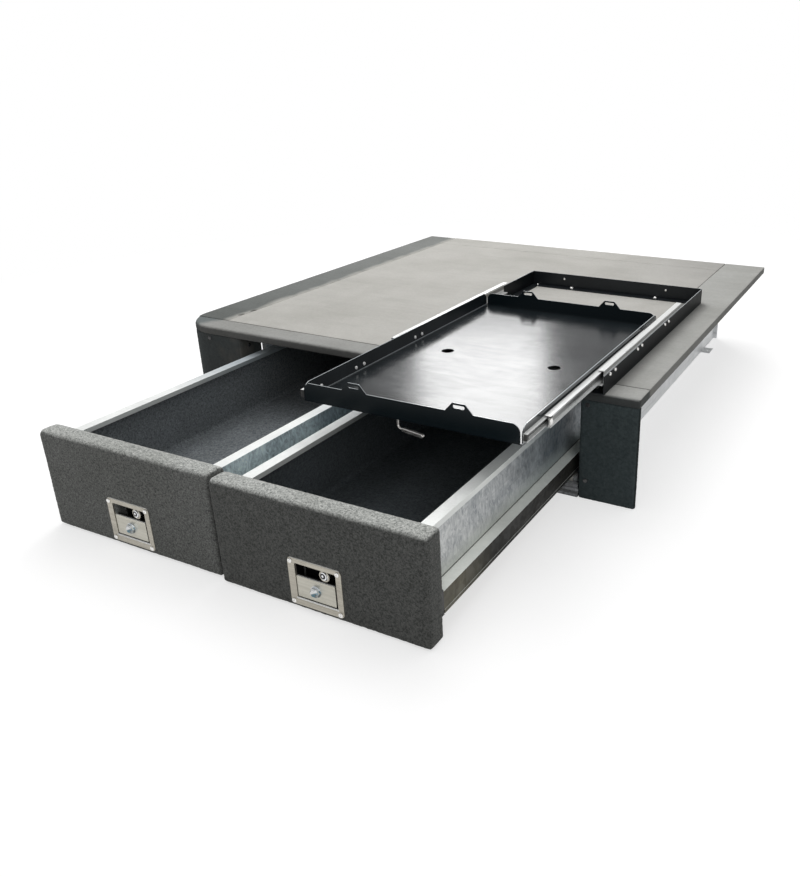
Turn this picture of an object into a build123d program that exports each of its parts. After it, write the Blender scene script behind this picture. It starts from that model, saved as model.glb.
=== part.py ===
from build123d import *
import os

# Double drawer system with a fridge slide on its deck.
# The origin is the centre of the housing's base, +X to the right, +Y to the back, +Z up.
# Both drawers and the fridge tray are modelled part open.

# Housing
depth = 1500
height = 296
board = 24
left_wing = 239.5
right_wing = 151.5
left_strip = 130
right_strip = 150
nose_depth = 75
rear_strip = 125
sheet = 2
divider_t = 2
infill_board = 15
return_depth = 95
cross_h = 12
cross_w = 60

# Drawers
fascia_inset = 8
fascia_height = 246
fascia_depth = 48
fascia_base = 4
tray_width = 470
tray_length = 1400
tray_sheet = 1.5
tray_drop = 18
runner_w = 28
runner_h = 49
runner_base = 56
left_out = 627
right_out = 638

# Fridge slide
fridge_inset = 88
frame_width = 604
frame_length = 903
frame_wall = 48
frame_overhang = 10
tray_side_gap = 25
fridge_tray_length = 890
fridge_tray_lift = 30
middle_out = 295
inner_out = 95
slide_length = 660
slide_h = 34
slide_t = 1.4
slide_lift = 44

# Clearances
overrun = 2
seat_gap = 0.3
run_gap = 0.05
close_gap = 2
seam = 1
rail_gap = 1
divider_gap = 4
frame_gap = 5.5

# Shared places
front = -depth / 2
rear = depth / 2
deck_base = height - board
rail_w = runner_w + 2 * divider_gap
inner_rail_x = divider_t / 2 + rail_w / 2
drawer_x = inner_rail_x + runner_w / 2 + tray_width / 2
outer_rail_x = drawer_x + tray_width / 2 + runner_w / 2
frame_face = outer_rail_x + runner_w / 2 + frame_gap
infill_lap = 12
infill_x = frame_face + infill_lap
left_reach = infill_x + left_wing
right_reach = infill_x + right_wing
fascia_width = 2 * (drawer_x - fascia_inset)
fridge_x = right_reach - fridge_inset - frame_width / 2
fascia_top = fascia_base + fascia_height
side_top = fascia_top - tray_drop
rail_top = runner_base - rail_gap
frame_front = front + return_depth + close_gap

os.makedirs("parts", exist_ok=True)


def save(piece, name):
    """Label a finished piece and write its STEP file."""
    piece.part.label = name
    export_step(piece.part, f"parts/{name}.step")


def slab(x, y, z, mode=Mode.ADD):
    """Box that spans the given pairs of x, y and z."""
    with Locations((sum(x) / 2, sum(y) / 2, sum(z) / 2)):
        Box(abs(x[1] - x[0]), abs(y[1] - y[0]), abs(z[1] - z[0]), mode=mode)


def fold_y(points, thickness, y, side=Side.RIGHT):
    """Sheet folded along an XZ outline and run along Y."""
    with BuildSketch(Plane.XZ.offset(-y[1])) as profile:
        with BuildLine():
            Polyline(*points)
            offset(amount=thickness, side=side)
        make_face()
    extrude(profile.sketch, amount=y[1] - y[0])


def fold_x(points, thickness, x, side=Side.LEFT):
    """Sheet folded along a YZ outline and run along X."""
    with BuildSketch(Plane.YZ.offset(x[0])) as profile:
        with BuildLine():
            Polyline(*points)
            offset(amount=thickness, side=side)
        make_face()
    extrude(profile.sketch, amount=x[1] - x[0])


def rod_x(radius, x, y, z, mode=Mode.ADD):
    """Round bar along X."""
    with BuildSketch(Plane.YZ.offset(x[0])) as profile:
        with Locations((y, z)):
            Circle(radius)
    extrude(profile.sketch, amount=x[1] - x[0], mode=mode)


def rod_y(radius, x, y, z, mode=Mode.ADD):
    """Round bar along Y."""
    with BuildSketch(Plane.XZ.offset(-y[1])) as profile:
        with Locations((x, z)):
            Circle(radius)
    extrude(profile.sketch, amount=y[1] - y[0], mode=mode)


# A head's turn, the axis that it faces along and which end of that axis
facing = {
    "front": ((90, 0, 0), Axis.Y, 0),
    "right": ((0, 90, 0), Axis.X, -1),
    "left": ((0, -90, 0), Axis.X, 0),
    "up": ((0, 0, 0), Axis.Z, -1),
}
dome_share = 0.8


def domes(places, way, radius, rise):
    """Domed heads that stand on the given places and face one way."""
    turn, axis, end = facing[way]
    with Locations(*places):
        Cylinder(radius, rise, rotation=turn, align=(Align.CENTER, Align.CENTER, Align.MIN))
    rims = edges(Select.LAST).filter_by(GeomType.CIRCLE).group_by(axis)[end]
    fillet(rims, rise * dome_share)


# Base sill, a ribbed strip across the front that the outer fascias close against
sill_depth = 62
sill_h = 36
sill_groove = 5
sill_shelf = 15
groove_share = 0.25
with BuildPart() as base_sill:
    sill_back = front + sill_depth
    low, high = sill_h * groove_share, sill_h * (1 - groove_share)
    fold_x(
        [
            (sill_back, cross_h),
            (sill_back, 0),
            (front, 0),
            (front, low),
            (front + sill_groove, low + sill_groove),
            (front + sill_groove, high - sill_groove),
            (front, high),
            (front, sill_h),
            (front + sill_shelf, sill_h),
        ],
        sheet,
        (-infill_x, infill_x),
        Side.RIGHT,
    )
save(base_sill, "base_sill")

# Cross-members under the rails and a header under the deck's front
header_h = 22
header_w = 40
rear_inset = 30
with BuildPart() as cross_members:
    for middle in (front / 2, 0, rear - rear_inset - cross_w / 2):
        y = (middle - cross_w / 2, middle + cross_w / 2)
        outline = [(y[0], cross_h), (y[0], 0), (y[1], 0), (y[1], cross_h)]
        fold_x(outline, sheet, (-frame_face, frame_face), Side.LEFT)
    y = (frame_front, frame_front + header_w)
    z = (deck_base - header_h, deck_base)
    outline = [(y[0], z[0]), (y[0], z[1]), (y[1], z[1]), (y[1], z[0])]
    fold_x(outline, sheet, (-frame_face, frame_face), Side.RIGHT)
save(cross_members, "cross_members")

# Lipped rails that hold the rear rollers
rail_lip = 9
rail_y = (front + sill_depth - sheet, rear - rear_inset - close_gap)
rail_x = (-outer_rail_x, -inner_rail_x, inner_rail_x, outer_rail_x)
with BuildPart() as drawer_rails:
    for x in rail_x:
        a, b = x - rail_w / 2, x + rail_w / 2
        slot = rail_w / 2 - sheet - rail_lip
        outline = [
            (x - slot, rail_top),
            (a, rail_top),
            (a, cross_h),
            (b, cross_h),
            (b, rail_top),
            (x + slot, rail_top),
        ]
        fold_y(outline, sheet, rail_y, Side.LEFT)
save(drawer_rails, "drawer_rails")

# Side frames, with lightening windows, a deck flange and bolt-down feet
foot_w = 34
foot_l = 60
deck_flange = 26
edge_flange = 14
foot_bolt_inset = 20
foot_bolt_x = frame_face + foot_bolt_inset
foot_bolt_y = 550
foot_bolt_r = 4.5
window_l = 200
window_h = 110
window_r = 25
window_count = 5
frame_rear = rear - rear_inset
for side, s in (("left", -1), ("right", 1)):
    with BuildPart() as side_frame:
        inner, outer = s * frame_face, s * (frame_face + sheet)
        y = (frame_front, frame_rear)
        slab((inner, outer), y, (0, deck_base))
        pitch = (y[1] - y[0]) / window_count
        places = [(y[0] + pitch * (i + 0.5), deck_base / 2) for i in range(window_count)]
        with BuildSketch(Plane.YZ.offset(min(inner, outer) - overrun)):
            with Locations(*places):
                RectangleRounded(window_l, window_h, window_r)
        extrude(amount=sheet + 2 * overrun, mode=Mode.SUBTRACT)
        slab((outer, s * (frame_face + deck_flange)), y, (deck_base - sheet, deck_base))
        for t in (-1, 1):
            foot_y = (t * foot_bolt_y - foot_l / 2, t * foot_bolt_y + foot_l / 2)
            slab((outer, s * (frame_face + foot_w)), foot_y, (0, sheet))
        for a, b in ((y[0], y[0] + sheet), (y[1] - sheet, y[1])):
            slab((outer, s * (frame_face + edge_flange)), (a, b), (sheet, deck_base - sheet))
        with Locations(*[(s * foot_bolt_x, t * foot_bolt_y, sheet) for t in (-1, 1)]):
            Hole(foot_bolt_r, depth=sheet + overrun)
    save(side_frame, f"{side}_side_frame")

# Centre divider between the two bays
divider_flange = 25
with BuildPart() as centre_divider:
    y = (frame_front + header_w + close_gap, rear - rear_inset - close_gap)
    slab((-divider_t / 2, divider_t / 2), y, (cross_h, deck_base))
    slab((-divider_flange, divider_flange), y, (deck_base - sheet, deck_base))
save(centre_divider, "centre_divider")

# Rear panel
with BuildPart() as rear_panel:
    y = (rear - rear_inset, rear - rear_inset + sheet)
    slab((-frame_face - edge_flange, frame_face + edge_flange), y, (0, deck_base))
    slab((-frame_face, frame_face), (y[1], y[1] + edge_flange), (deck_base - sheet, deck_base))
    slab((-frame_face, frame_face), (y[1], y[1] + edge_flange), (0, sheet))
save(rear_panel, "rear_panel")

# Brackets that carry the wings
bracket_drop = 110
bracket_inset = 15
bracket_flange = 20
bracket_tip = 10
bracket_shares = (-0.62, 0, 0.62)
with BuildPart() as wing_brackets:
    for s, reach in ((-1, left_reach), (1, right_reach)):
        for share in bracket_shares:
            web, tip = s * (frame_face + sheet), s * (reach - bracket_inset)
            lap = s * (frame_face + deck_flange)
            y = (share * rear, share * rear + sheet)
            top = deck_base - sheet
            with BuildSketch(Plane.XZ.offset(-y[1])):
                with BuildLine():
                    Polyline(
                        (web, top),
                        (lap, top),
                        (lap, deck_base),
                        (tip, deck_base),
                        (tip, top - bracket_tip),
                        (web, top - bracket_drop),
                        close=True,
                    )
                make_face()
            extrude(amount=sheet)
            slab((lap, tip), (y[0], y[0] + bracket_flange), (top, deck_base))
save(wing_brackets, "wing_brackets")

# Carpeted top: nose, deck, rear strip and wings, with their seams
nose_round = 10
corner_round = 115
board_round = 4
seam_round = 2
deck_left = left_reach - left_strip
deck_right = right_reach - right_strip
board_y = (front + nose_depth + seam, rear)


def corners_of(x, y):
    """Corners of the rectangle that spans the given pairs."""
    return [(x[0], y[0]), (x[1], y[0]), (x[1], y[1]), (x[0], y[1])]


with BuildPart() as nose_board:
    with BuildSketch(Plane.XY.offset(deck_base)) as nose_plan:
        with BuildLine():
            Polyline(*corners_of((-left_reach, right_reach), (front, rear)), close=True)
        make_face()
        fillet(nose_plan.vertices().group_by(Axis.Y)[0].sort_by(Axis.X)[0], corner_round)
        with BuildLine():
            Polyline(*corners_of((-left_reach, right_reach), (front, front + nose_depth)), close=True)
        make_face(mode=Mode.INTERSECT)
    extrude(amount=board)
    top = faces().sort_by(Axis.Z)[-1]
    back_edge = top.edges().sort_by(Axis.Y)[-1]
    right_edge = top.edges().sort_by(Axis.X)[-1]
    rolled = [
        e
        for e in top.edges()
        if e.center().Y < back_edge.center().Y - seam and e.center().X < right_edge.center().X - seam
    ]
    fillet(rolled, nose_round)
save(nose_board, "nose_board")

with BuildPart() as deck_board:
    slab((-deck_left, deck_right), (board_y[0], rear - rear_strip - seam), (deck_base, height))
    fillet(faces().sort_by(Axis.Z)[-1].edges(), seam_round)
save(deck_board, "deck_board")

with BuildPart() as rear_board:
    slab((-deck_left, deck_right), (rear - rear_strip, rear), (deck_base, height))
    fillet(faces().sort_by(Axis.Z)[-1].edges(), seam_round)
save(rear_board, "rear_board")

# Two small recesses in the left wing's top
recess_l = 26
recess_w = 12
recess_deep = 6
recess_inset = 120
recess_start = 145
recess_pitch = 52
recess_skew = 3
recess_places = (
    (-left_reach + recess_inset, front + recess_start),
    (-left_reach + recess_inset + recess_skew, front + recess_start + recess_pitch),
)
left_wing_x = (-left_reach, -deck_left - seam)
with BuildPart() as left_wing_board:
    with BuildSketch(Plane.XY.offset(deck_base)) as wing_plan:
        with BuildLine():
            Polyline(*corners_of(left_wing_x, (front, rear)), close=True)
        make_face()
        fillet(wing_plan.vertices().group_by(Axis.Y)[0].sort_by(Axis.X)[0], corner_round)
        with BuildLine():
            Polyline(*corners_of(left_wing_x, board_y), close=True)
        make_face(mode=Mode.INTERSECT)
    extrude(amount=board)
    fillet(faces().sort_by(Axis.Z)[-1].edges(), board_round)
    with BuildSketch(Plane.XY.offset(height)):
        with Locations(*recess_places):
            SlotOverall(recess_l, recess_w, rotation=90)
    extrude(amount=-recess_deep, mode=Mode.SUBTRACT)
save(left_wing_board, "left_wing_board")

with BuildPart() as right_wing_board:
    slab((deck_right + seam, right_reach), board_y, (deck_base, height))
    fillet(faces().sort_by(Axis.Z)[-1].edges(), board_round)
save(right_wing_board, "right_wing_board")

# Carpeted infill under the wings, each with a return into the bay
infill_round = 3
infill_back = front + infill_board
return_back = front + return_depth


def infill_outline(s, reach, end):
    """Plan points of an infill panel on side s, whose outer end passes through the given points."""
    inner = infill_x + infill_board
    outline = [(infill_x, front), (reach, front), *end, (inner, infill_back), (inner, return_back),
               (infill_x, return_back)]
    return [(s * x, y) for x, y in outline]


with BuildPart() as left_infill_panel:
    with BuildSketch(Plane.XY) as plan:
        wrap_x, wrap_y = left_reach - infill_board, front + corner_round + infill_board
        wrap = [(left_reach, wrap_y), (wrap_x, wrap_y), (wrap_x, infill_back)]
        with BuildLine():
            Polyline(*infill_outline(-1, left_reach, wrap), close=True)
        make_face()
        fillet(plan.vertices().sort_by_distance((-left_reach, front, 0))[0], corner_round)
        fillet(plan.vertices().sort_by_distance((-wrap_x, infill_back, 0))[0], corner_round - infill_board)
        fillet(plan.vertices().sort_by_distance((-infill_x, front, 0))[0], infill_round)
    extrude(amount=deck_base)
save(left_infill_panel, "left_infill_panel")

with BuildPart() as right_infill_panel:
    with BuildSketch(Plane.XY) as plan:
        with BuildLine():
            Polyline(*infill_outline(1, right_reach, [(right_reach, infill_back)]), close=True)
        make_face()
        fillet(plan.vertices().group_by(Axis.Y)[0], infill_round)
    extrude(amount=deck_base)
save(right_infill_panel, "right_infill_panel")

# Screws in the infill panels
screw_r = 6
screw_h = 2.5
screw_top_z = 260
screw_low_z = 53
screw_inset = 20
return_screw_y = 41
return_screw_z = 242
left_screw_inset = 123
with BuildPart() as panel_screws:
    x = infill_x + screw_inset
    left_x = -left_reach + left_screw_inset
    places = [(x, front, screw_top_z), (x, front, screw_low_z), (left_x, front, screw_top_z)]
    domes(places, "front", screw_r, screw_h)
    domes([(-infill_x, front + return_screw_y, return_screw_z)], "right", screw_r, screw_h)
    domes([(infill_x, front + return_screw_y, return_screw_z)], "left", screw_r, screw_h)
save(panel_screws, "panel_screws")

# Front rollers, which carry the runners, on brackets that stand in the sill
roller_play = 0.5
roller_r = (rail_top - cross_h - 2 * sheet) / 2 - roller_play
roller_bore = 5
roller_round = 1.5
front_roller_w = 20
front_roller_y = front + sill_depth / 2 + 2 * sheet
front_roller_z = runner_base - seat_gap - roller_r
bracket_l = 28
bracket_over = 8
with BuildPart() as front_axles:
    for x in rail_x:
        gap = front_roller_w / 2 + seat_gap
        y = (front_roller_y - bracket_l / 2, front_roller_y + bracket_l / 2)
        top = front_roller_z + bracket_over
        outline = [(x - gap, top), (x - gap, 2 * sheet), (x + gap, 2 * sheet), (x + gap, top)]
        fold_y(outline, sheet, y, Side.RIGHT)
        rod_x(roller_bore, (x - gap - sheet, x + gap + sheet), front_roller_y, front_roller_z)
save(front_axles, "front_axles")


def roller(x, y, z, bore):
    """Nylon roller that spans a pair of x, with rounded rims."""
    with Locations((sum(x) / 2, y, z)):
        Cylinder(roller_r, x[1] - x[0], rotation=(0, 90, 0))
    rims = edges(Select.LAST).filter_by(GeomType.CIRCLE)
    fillet(rims, roller_round)
    rod_x(bore + run_gap, (x[0] - overrun, x[1] + overrun), y, z, Mode.SUBTRACT)


for side, places in (("left", rail_x[:2]), ("right", rail_x[2:])):
    with BuildPart() as front_rollers:
        for x in places:
            span = (x - front_roller_w / 2, x + front_roller_w / 2)
            roller(span, front_roller_y, front_roller_z, roller_bore)
    save(front_rollers, f"{side}_front_rollers")

# Drawer boxes
top_flange = 28
flange_lip = 12
floor_flange = 20
floor_board = 4
liner_t = 5
runner_lip = 1.5
lip_h = 7
cap_t = 6
cap_rise = 5
fascia_round = 12
fascia_edge = 5

# Latch, placed about its plate's centre
plate_w = 133
plate_h = 111
plate_t = 2.5
plate_round = 10
latch_z = 68
mouth_left = 48.5
mouth_right = 53.5
mouth_top = 44.5
mouth_low = 39.5
mouth_round = 4
dish_t = 1.2
dish_deep = 28
latch_screw_r = 5.5
latch_screw_h = 3
latch_screw_inset = 8
latch_shank_r = 2
latch_shank_l = 20
flap_gap = 5
flap_slack = 1
flap_top = 14.5
flap_t = 3
flap_return = 12
flap_recess = 1
pivot_r = 3
pivot_drop = 2.5
pivot_deep = 5.5
knob_r = 13
knob_base = 2
knob_flat = 20
knob_h = 8
knob_round = 2.5
barrel_x = 23
barrel_z = 31
barrel_r = 9.5
collar_t = 3
tail_r = 4
cam_l = 15
cam_w = 7
cam_t = 4
key_slot_l = 8
key_slot_w = 2
key_slot_deep = 5
pocket_left = 18
pocket_right = 40
pocket_low = 30
pocket_high = 46
tongue_w = 24
tongue_t = 4
tongue_reach = 16
tongue_h = 6
tongue_low = 44
tongue_top = 92
hook_l = 6
keeper_t = 2
keeper_h = 6
keeper_w = 40
keeper_y = 4
barrel_bevel = 0.6
left_latch_shift = -2
right_latch_shift = -2
drawers = (
    ("left", -drawer_x, left_out, left_latch_shift),
    ("right", drawer_x, right_out, right_latch_shift),
)

for side, cx, out, shift in drawers:
    back = front - close_gap - out
    face = back - fascia_depth
    lx = cx + shift
    lz = latch_z
    half = tray_width / 2
    inside = half - tray_sheet
    tray_rear = back + tray_length
    wall_base = runner_base + tray_sheet
    flap_x = (lx - mouth_left + flap_slack, lx + mouth_right - flap_gap)
    flap_z = (lz - mouth_low + flap_gap, lz + flap_top)
    pivot = (face + pivot_deep, lz + flap_top - pivot_drop)
    barrel = (lx + barrel_x, lz + barrel_z)
    corners = [
        (lx + u * (plate_w / 2 - latch_screw_inset), lz + v * (plate_h / 2 - latch_screw_inset))
        for u in (-1, 1)
        for v in (-1, 1)
    ]

    # Fascia, hollowed for the latch
    with BuildPart() as fascia:
        slab((cx - fascia_width / 2, cx + fascia_width / 2), (face, back), (fascia_base, fascia_top))
        fillet(edges().filter_by(Axis.X).group_by(Axis.Z)[-1], fascia_round)
        fillet(edges().filter_by(Axis.Z) + edges().filter_by(Axis.X).group_by(Axis.Z)[0], fascia_edge)
        wall = dish_t + seat_gap
        hollow_x = (lx - mouth_left - wall, lx + mouth_right + wall)
        hollow_z = (lz - mouth_low - wall, lz + mouth_top + wall)
        slab(hollow_x, (face - overrun, face + dish_deep + seat_gap), hollow_z, Mode.SUBTRACT)
        pocket_x = (lx - pocket_left, lx + pocket_right)
        pocket_z = (lz - pocket_low, lz + pocket_high)
        slab(pocket_x, (face, back + overrun), pocket_z, Mode.SUBTRACT)
        for x, z in corners:
            rod_y(latch_shank_r + seat_gap, x, (face - overrun, face + latch_shank_l), z, Mode.SUBTRACT)
    save(fascia, f"{side}_fascia")

    # Front and back plates of the box
    with BuildPart() as end_walls:
        low = wall_base + floor_board
        high = side_top - flange_lip - seat_gap
        x = (cx - inside, cx + inside)
        slab(x, (back, back + sheet), (low, high))
        slab(x, (tray_rear - sheet, tray_rear), (low, high))
        slab(x, (tray_rear - floor_flange, tray_rear - sheet), (high - sheet, high))
    save(end_walls, f"{side}_end_walls")

    # Folded sides with a turned-in top flange
    with BuildPart() as drawer_sides:
        for s in (-1, 1):
            outline = [
                (cx + s * (half - top_flange), side_top - flange_lip),
                (cx + s * (half - top_flange), side_top),
                (cx + s * half, side_top),
                (cx + s * half, runner_base),
                (cx + s * (half - floor_flange), runner_base),
            ]
            fold_y(outline, tray_sheet, (back, tray_rear), Side.RIGHT if s > 0 else Side.LEFT)
    save(drawer_sides, f"{side}_drawer_sides")

    # Runners with a small rubbing lip along their lower edge
    with BuildPart() as runners:
        for s in (-1, 1):
            outline = [
                (cx + s * half, runner_base + runner_h),
                (cx + s * (half + runner_w), runner_base + runner_h),
                (cx + s * (half + runner_w), runner_base + lip_h + runner_lip),
                (cx + s * (half + runner_w + runner_lip), runner_base + lip_h),
                (cx + s * (half + runner_w + runner_lip), runner_base),
                (cx + s * half, runner_base),
            ]
            fold_y(outline, tray_sheet, (back + cap_t, tray_rear), Side.RIGHT if s > 0 else Side.LEFT)
    save(runners, f"{side}_runners")

    # Caps between the fascia and the runners
    with BuildPart() as runner_caps:
        for s in (-1, 1):
            slab((cx + s * half, cx + s * (half + runner_w)), (back, back + cap_t),
                 (runner_base - cap_rise, runner_base + runner_h + cap_rise))
        fillet(edges().filter_by(Axis.Y), cap_rise / 2)
    save(runner_caps, f"{side}_runner_caps")

    with BuildPart() as floor:
        slab((cx - inside, cx + inside), (back, tray_rear), (wall_base, wall_base + floor_board))
    save(floor, f"{side}_floor")

    # Carpet liner on the floor and all four walls
    with BuildPart() as liner:
        x = (cx - inside + seat_gap, cx + inside - seat_gap)
        y = (back + sheet + seat_gap, tray_rear - sheet - seat_gap)
        low = wall_base + floor_board
        high = side_top - flange_lip - sheet - 2 * seat_gap
        slab(x, y, (low, high))
        within_x = (x[0] + liner_t, x[1] - liner_t)
        within_y = (y[0] + liner_t, y[1] - liner_t)
        slab(within_x, within_y, (low + liner_t, high + overrun), Mode.SUBTRACT)
    save(liner, f"{side}_liner")

    # Hangers under the box's rear, each with an axle in its rail
    hanger_t = 5
    hanger_l = 44
    hanger_drop = 30
    hanger_inset = 60
    rear_bore = 4
    rear_roller_w = 8
    axle_head_r = 6
    axle_head_t = 1.5
    rear_axle_y = tray_rear - hanger_inset
    rear_axle_z = (rail_top + cross_h) / 2
    runner_x = (cx - half - runner_w / 2, cx + half + runner_w / 2)
    with BuildPart() as rear_axles:
        for x in runner_x:
            with BuildSketch(Plane.YZ.offset(x - hanger_t / 2)) as hanger:
                with BuildLine():
                    Polyline(
                        (rear_axle_y - hanger_l / 2, runner_base),
                        (rear_axle_y + hanger_l / 2, runner_base),
                        (rear_axle_y, runner_base - hanger_drop),
                        close=True,
                    )
                make_face()
                fillet(hanger.vertices().sort_by(Axis.Y)[0], axle_head_r)
            extrude(amount=hanger_t)
            reach = hanger_t / 2 + rear_roller_w + 2 * seat_gap
            rod_x(rear_bore, (x - reach, x + reach), rear_axle_y, rear_axle_z)
            for a, b in ((x - reach - axle_head_t, x - reach), (x + reach, x + reach + axle_head_t)):
                rod_x(axle_head_r, (a, b), rear_axle_y, rear_axle_z)
    save(rear_axles, f"{side}_rear_axles")

    with BuildPart() as rear_rollers:
        for x in runner_x:
            near = hanger_t / 2 + seat_gap
            for a in (x - near - rear_roller_w, x + near):
                roller((a, a + rear_roller_w), rear_axle_y, rear_axle_z, rear_bore)
    save(rear_rollers, f"{side}_rear_rollers")

    # Latch plate with its dish and the lock's collar
    with BuildPart() as latch_plate:
        with BuildSketch(Plane.XZ.offset(-face)):
            with Locations((lx, lz)):
                RectangleRounded(plate_w, plate_h, plate_round)
        extrude(amount=plate_t)
        chamfer(faces().sort_by(Axis.Y)[0].edges(), plate_t / 3)
        wall = dish_t
        slab((lx - mouth_left - wall, lx + mouth_right + wall), (face, face + dish_deep),
             (lz - mouth_low - wall, lz + mouth_top + wall))
        with BuildSketch(Plane.XZ.offset(-face - dish_deep + dish_t)):
            with Locations((lx + (mouth_right - mouth_left) / 2, lz + (mouth_top - mouth_low) / 2)):
                RectangleRounded(mouth_left + mouth_right, mouth_top + mouth_low, mouth_round)
        extrude(amount=dish_deep + plate_t + overrun, mode=Mode.SUBTRACT)
        rod_y(barrel_r + collar_t, barrel[0], (face + flap_recess, face + dish_deep), barrel[1])
        rod_y(barrel_r, barrel[0], (face, face + dish_deep - dish_t), barrel[1], Mode.SUBTRACT)
        rod_y(tail_r + run_gap, barrel[0], (face, face + dish_deep + overrun), barrel[1], Mode.SUBTRACT)
        span = (lx - mouth_left - overrun, lx + mouth_right + overrun)
        rod_x(pivot_r + run_gap, span, *pivot, Mode.SUBTRACT)
        through = (face - plate_t - overrun, face + overrun)
        for x, z in corners:
            rod_y(latch_shank_r + seat_gap, x, through, z, Mode.SUBTRACT)
    save(latch_plate, f"{side}_latch_plate")

    with BuildPart() as latch_screws:
        for x, z in corners:
            rod_y(latch_shank_r, x, (face - plate_t, face + latch_shank_l - seat_gap), z)
        domes([(x, face - plate_t, z) for x, z in corners], "front", latch_screw_r, latch_screw_h)
        for x, z in corners:
            slab((x - latch_shank_r, x + latch_shank_r),
                 (face - plate_t - latch_screw_h, face - plate_t - latch_screw_h / 2),
                 (z - latch_shank_r / 4, z + latch_shank_r / 4), Mode.SUBTRACT)
    save(latch_screws, f"{side}_latch_screws")

    # Flap that is pulled out at its lower edge
    with BuildPart() as paddle:
        skin = (face - flap_recess, face - flap_recess + flap_t)
        slab(flap_x, skin, flap_z)
        fillet(edges().filter_by(Axis.Y), mouth_round / 2)
        inward = (skin[1], skin[1] + flap_return - flap_t)
        low = flap_z[0] + mouth_round
        for x in ((flap_x[0], flap_x[0] + dish_t), (flap_x[1] - dish_t, flap_x[1])):
            slab(x, inward, (low, flap_z[1] - mouth_round / 2))
        slab((flap_x[0] + dish_t, flap_x[1] - dish_t), inward, (low, low + dish_t))
        rod_x(pivot_r, (lx - mouth_left - dish_t, lx + mouth_right + dish_t), *pivot)
    save(paddle, f"{side}_paddle")

    knob = (sum(flap_x) / 2, sum(flap_z) / 2)
    with BuildPart() as paddle_knob:
        at = face - flap_recess
        rod_y(knob_r, knob[0], (at - knob_base, at), knob[1])
        with BuildSketch(Plane.XZ.offset(-at + knob_base)):
            with Locations(knob):
                RegularPolygon(knob_flat / 2, 6, major_radius=False)
        extrude(amount=knob_h)
        chamfer(faces().sort_by(Axis.Y)[0].edges(), knob_round)
    save(paddle_knob, f"{side}_paddle_knob")

    # Key barrel with its tail and cam
    with BuildPart() as lock_barrel:
        at = face + flap_recess - collar_t / 2
        dish_back = face + dish_deep
        cam_y = (dish_back + seat_gap, dish_back + seat_gap + cam_t)
        rod_y(barrel_r - run_gap, barrel[0], (at, dish_back - dish_t - seat_gap), barrel[1])
        chamfer(faces().sort_by(Axis.Y)[0].edges(), barrel_bevel)
        rod_y(tail_r, barrel[0], (dish_back - 2 * dish_t, cam_y[1]), barrel[1])
        cam_z = (barrel[1] - cam_w / 2, barrel[1] + cam_w / 2)
        slab((barrel[0] - cam_l, barrel[0] + tail_r), cam_y, cam_z)
        slot_x = (barrel[0] - key_slot_w / 2, barrel[0] + key_slot_w / 2)
        slot_z = (barrel[1] - key_slot_l / 2, barrel[1] + key_slot_l / 2)
        slab(slot_x, (at - overrun, at + key_slot_deep), slot_z, Mode.SUBTRACT)
    save(lock_barrel, f"{side}_lock_barrel")

    # Tongue that slides on the box's front plate and hooks down behind the keeper
    with BuildPart() as latch_tongue:
        x = (lx - tongue_w / 2, lx + tongue_w / 2)
        hook = (back + tongue_reach - hook_l, back + tongue_reach)
        slab(x, (back - seat_gap - tongue_t, back - seat_gap), (tongue_low, tongue_top))
        slab(x, (back - seat_gap, back + tongue_reach), (tongue_low, tongue_low + tongue_h))
        slab(x, hook, (sill_h + keeper_h + 2 * seat_gap, tongue_low))
    save(latch_tongue, f"{side}_latch_tongue")

# Keepers on the sill, which the tongues pass over
with BuildPart() as latch_keepers:
    for side, cx, out, shift in drawers:
        x = (cx + shift - keeper_w / 2, cx + shift + keeper_w / 2)
        slab(x, (front + keeper_y, front + sill_shelf), (sill_h, sill_h + keeper_t))
        slab(x, (front + keeper_y, front + keeper_y + keeper_t), (sill_h, sill_h + keeper_h))
save(latch_keepers, "latch_keepers")

# Fridge slide frame on the deck
frame_t = 2
frame_flange = 27
flange_t = 2.5
notch_l = 40
notch_w = 10
notch_shares = (0.3, 0.7)
fx = (fridge_x - frame_width / 2, fridge_x + frame_width / 2)
fy = (front - frame_overhang, front - frame_overhang + frame_length)
with BuildPart() as fridge_frame:
    slab(fx, fy, (height, height + frame_wall))
    slab((fx[0] + frame_t, fx[1] - frame_t), (fy[0] - overrun, fy[1] - frame_t),
         (height + flange_t, height + frame_wall + overrun), Mode.SUBTRACT)
    fillet(edges().filter_by(Axis.Z).group_by(Axis.Y)[-1], frame_t)
    slab((fx[0] + frame_flange, fx[1] - frame_flange), (fy[0] + frame_flange, fy[1] - frame_flange),
         (height - overrun, height + flange_t + overrun), Mode.SUBTRACT)
    flange_edge = (fx[0] + frame_flange, fx[1] - frame_flange)
    for x in flange_edge:
        for share in notch_shares:
            y = fy[0] + frame_length * share
            slab((x - notch_w, x + notch_w), (y - notch_l / 2, y + notch_l / 2),
                 (height - overrun, height + flange_t + overrun), Mode.SUBTRACT)
save(fridge_frame, "fridge_frame")

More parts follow.
